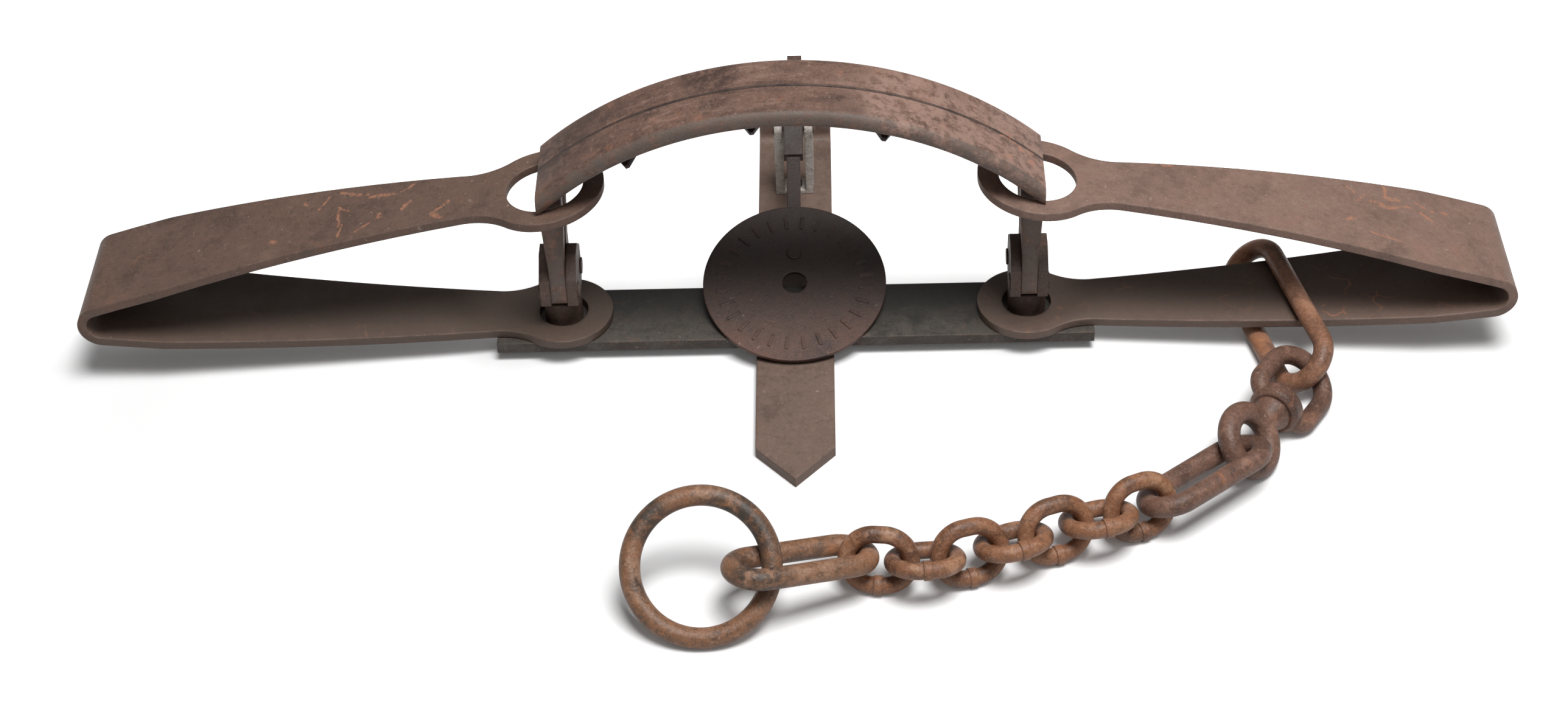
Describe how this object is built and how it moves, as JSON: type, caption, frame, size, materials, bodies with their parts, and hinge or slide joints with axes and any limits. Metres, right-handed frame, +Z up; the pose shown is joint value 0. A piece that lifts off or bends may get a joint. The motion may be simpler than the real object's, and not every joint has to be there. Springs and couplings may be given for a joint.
{
  "type": "leghold trap",
  "caption": "Closed double long-spring bear trap with toothed arched jaws, round pan and dog on a cross base, and a swivel chain ending in a drag ring.",
  "frame": {"origin": "centre of the cross bar underside, on the floor below the middle of the base bar", "axes": "+X along the base bar to the spring with the chain, +Y to the dog, +Z up"},
  "size_m": [1.118, 0.6611, 0.241],
  "materials": {
    "jaw_steel": "rusted, worn along the edges",
    "leaf_steel": "dark brown rust with scratches",
    "base_steel": "dark, nearly black rust",
    "cross_steel": "brown rust with pale specks",
    "post_steel": "rusted with bright worn edges",
    "pan_steel": "dark brown rust",
    "chain_steel": "orange-brown rust",
    "tooth_steel": "nearly black"
  },
  "bodies": {
    "base": {"base_bar": "base_steel", "cross_bar": "cross_steel", "bar_rivets": "base_steel", "left_post": "post_steel", "right_post": "post_steel", "left_jaw_pins": "post_steel", "right_jaw_pins": "post_steel", "pan_bracket": "post_steel", "bracket_rivet": "base_steel", "pan_pivot_pin": "post_steel", "dog_pin": "post_steel"},
    "front_jaw": {"front_jaw": "jaw_steel", "front_jaw_teeth": "tooth_steel"},
    "rear_jaw": {"rear_jaw": "jaw_steel", "rear_jaw_teeth": "tooth_steel"},
    "left_spring": {"left_spring_lower": "leaf_steel"},
    "left_leaf": {"left_spring_upper": "leaf_steel"},
    "right_spring": {"right_spring_lower": "leaf_steel"},
    "right_leaf": {"right_spring_upper": "leaf_steel"},
    "pan": {"pan": "pan_steel", "pan_arm": "pan_steel", "pan_rivet": "pan_steel"},
    "dog": {"dog": "post_steel"},
    "shackle": {"shackle": "chain_steel"},
    "swivel_bow": {"swivel_bow": "chain_steel"},
    "swivel_eye": {"swivel_eye": "chain_steel"},
    "long_link_1": {"long_link_1": "chain_steel"},
    "chain_link_1": {"chain_link_1": "chain_steel"},
    "chain_link_2": {"chain_link_2": "chain_steel"},
    "chain_link_3": {"chain_link_3": "chain_steel"},
    "chain_link_4": {"chain_link_4": "chain_steel"},
    "chain_link_5": {"chain_link_5": "chain_steel"},
    "chain_link_6": {"chain_link_6": "chain_steel"},
    "chain_link_7": {"chain_link_7": "chain_steel"},
    "long_link_2": {"long_link_2": "chain_steel"},
    "drag_ring": {"drag_ring": "chain_steel"}
  },
  "joints": [
    {"name": "front_jaw_hinge", "type": "hinge", "parent": "base", "child": "front_jaw", "pos_m": [0, -0.015, 0.0585], "axis": [1, 0, 0], "range_deg": [0, 95]},
    {"name": "rear_jaw_hinge", "type": "hinge", "parent": "base", "child": "rear_jaw", "pos_m": [0, 0.015, 0.0585], "axis": [-1, 0, 0], "range_deg": [0, 95]},
    {"name": "left_spring_turn", "type": "hinge", "parent": "base", "child": "left_spring", "pos_m": [-0.184, 0, 0.0218], "axis": [0, 0, 1], "range_deg": [-8, 8]},
    {"name": "right_spring_turn", "type": "hinge", "parent": "base", "child": "right_spring", "pos_m": [0.184, 0, 0.0218], "axis": [0, 0, 1], "range_deg": [-8, 8]},
    {"name": "left_leaf_flex", "type": "hinge", "parent": "left_spring", "child": "left_leaf", "pos_m": [-0.552, 0, 0.057], "axis": [0, 1, 0], "range_deg": [0, 17], "deforming": ["left_spring_upper"]},
    {"name": "right_leaf_flex", "type": "hinge", "parent": "right_spring", "child": "right_leaf", "pos_m": [0.552, 0, 0.057], "axis": [0, -1, 0], "range_deg": [0, 17], "deforming": ["right_spring_upper"]},
    {"name": "pan_hinge", "type": "hinge", "parent": "base", "child": "pan", "pos_m": [0, 0.171, 0.07356], "axis": [-1, 0, 0], "range_deg": [0, 17]},
    {"name": "dog_hinge", "type": "hinge", "parent": "base", "child": "dog", "pos_m": [0, 0.2445, 0.046], "axis": [1, 0, 0], "range_deg": [0, 150]},
    {"name": "shackle_turn", "type": "hinge", "parent": "right_spring", "child": "shackle", "pos_m": [0.379, 0, 0.02468], "axis": [0, 0, 1], "range_deg": [-3, 5]},
    {"name": "swivel_bow_turn", "type": "hinge", "parent": "shackle", "child": "swivel_bow", "pos_m": [0.3957, -0.09509, 0.02468], "axis": [0, 0, 1], "range_deg": [-4, 10]},
    {"name": "swivel_spin", "type": "hinge", "parent": "swivel_bow", "child": "swivel_eye", "pos_m": [0.34042, -0.16602, 0.02448], "axis": [0.5587, 0.8283, -0.0408], "continuous": true},
    {"name": "long_link_1_turn", "type": "hinge", "parent": "swivel_eye", "child": "long_link_1", "pos_m": [0.3284, -0.18383, 0.02535], "axis": [0, 0, -1], "range_deg": [-10, 2]},
    {"name": "chain_link_1_turn", "type": "hinge", "parent": "long_link_1", "child": "chain_link_1", "pos_m": [0.26205, -0.23567, 0.02588], "axis": [0, 0, -1], "range_deg": [-4, 7]},
    {"name": "chain_link_2_turn", "type": "hinge", "parent": "chain_link_1", "child": "chain_link_2", "pos_m": [0.23075, -0.24475, 0.02588], "axis": [0, 0, -1], "range_deg": [-8, 8]},
    {"name": "chain_link_3_turn", "type": "hinge", "parent": "chain_link_2", "child": "chain_link_3", "pos_m": [0.19864, -0.25396, 0.02588], "axis": [0, 0, -1], "range_deg": [-8, 8]},
    {"name": "chain_link_4_turn", "type": "hinge", "parent": "chain_link_3", "child": "chain_link_4", "pos_m": [0.16727, -0.2655, 0.02588], "axis": [0, 0, -1], "range_deg": [-8, 8]},
    {"name": "chain_link_5_turn", "type": "hinge", "parent": "chain_link_4", "child": "chain_link_5", "pos_m": [0.13599, -0.2772, 0.02588], "axis": [0, 0, 1], "range_deg": [-8, 8]},
    {"name": "chain_link_6_turn", "type": "hinge", "parent": "chain_link_5", "child": "chain_link_6", "pos_m": [0.10355, -0.28541, 0.02588], "axis": [0, 0, 1], "range_deg": [-8, 8]},
    {"name": "chain_link_7_turn", "type": "hinge", "parent": "chain_link_6", "child": "chain_link_7", "pos_m": [0.07023, -0.28774, 0.02588], "axis": [0, 0, 1], "range_deg": [-8, 8]},
    {"name": "long_link_2_turn", "type": "hinge", "parent": "chain_link_7", "child": "long_link_2", "pos_m": [0.03698, -0.28272, 0.02588], "axis": [0, 0, 1], "range_deg": [-8, 8]},
    {"name": "drag_ring_swing", "type": "hinge", "parent": "long_link_2", "child": "drag_ring", "pos_m": [-0.01572, -0.30282, 0.04123], "axis": [0, 0.7509, 0.6605], "range_deg": [-12, 12]}
  ],
  "couplings": [
    {"joint": "rear_jaw_hinge", "follows": "front_jaw_hinge", "ratio": 1},
    {"joint": "left_leaf_flex", "follows": "front_jaw_hinge", "ratio": 0.17789},
    {"joint": "right_leaf_flex", "follows": "front_jaw_hinge", "ratio": 0.17789}
  ]
}
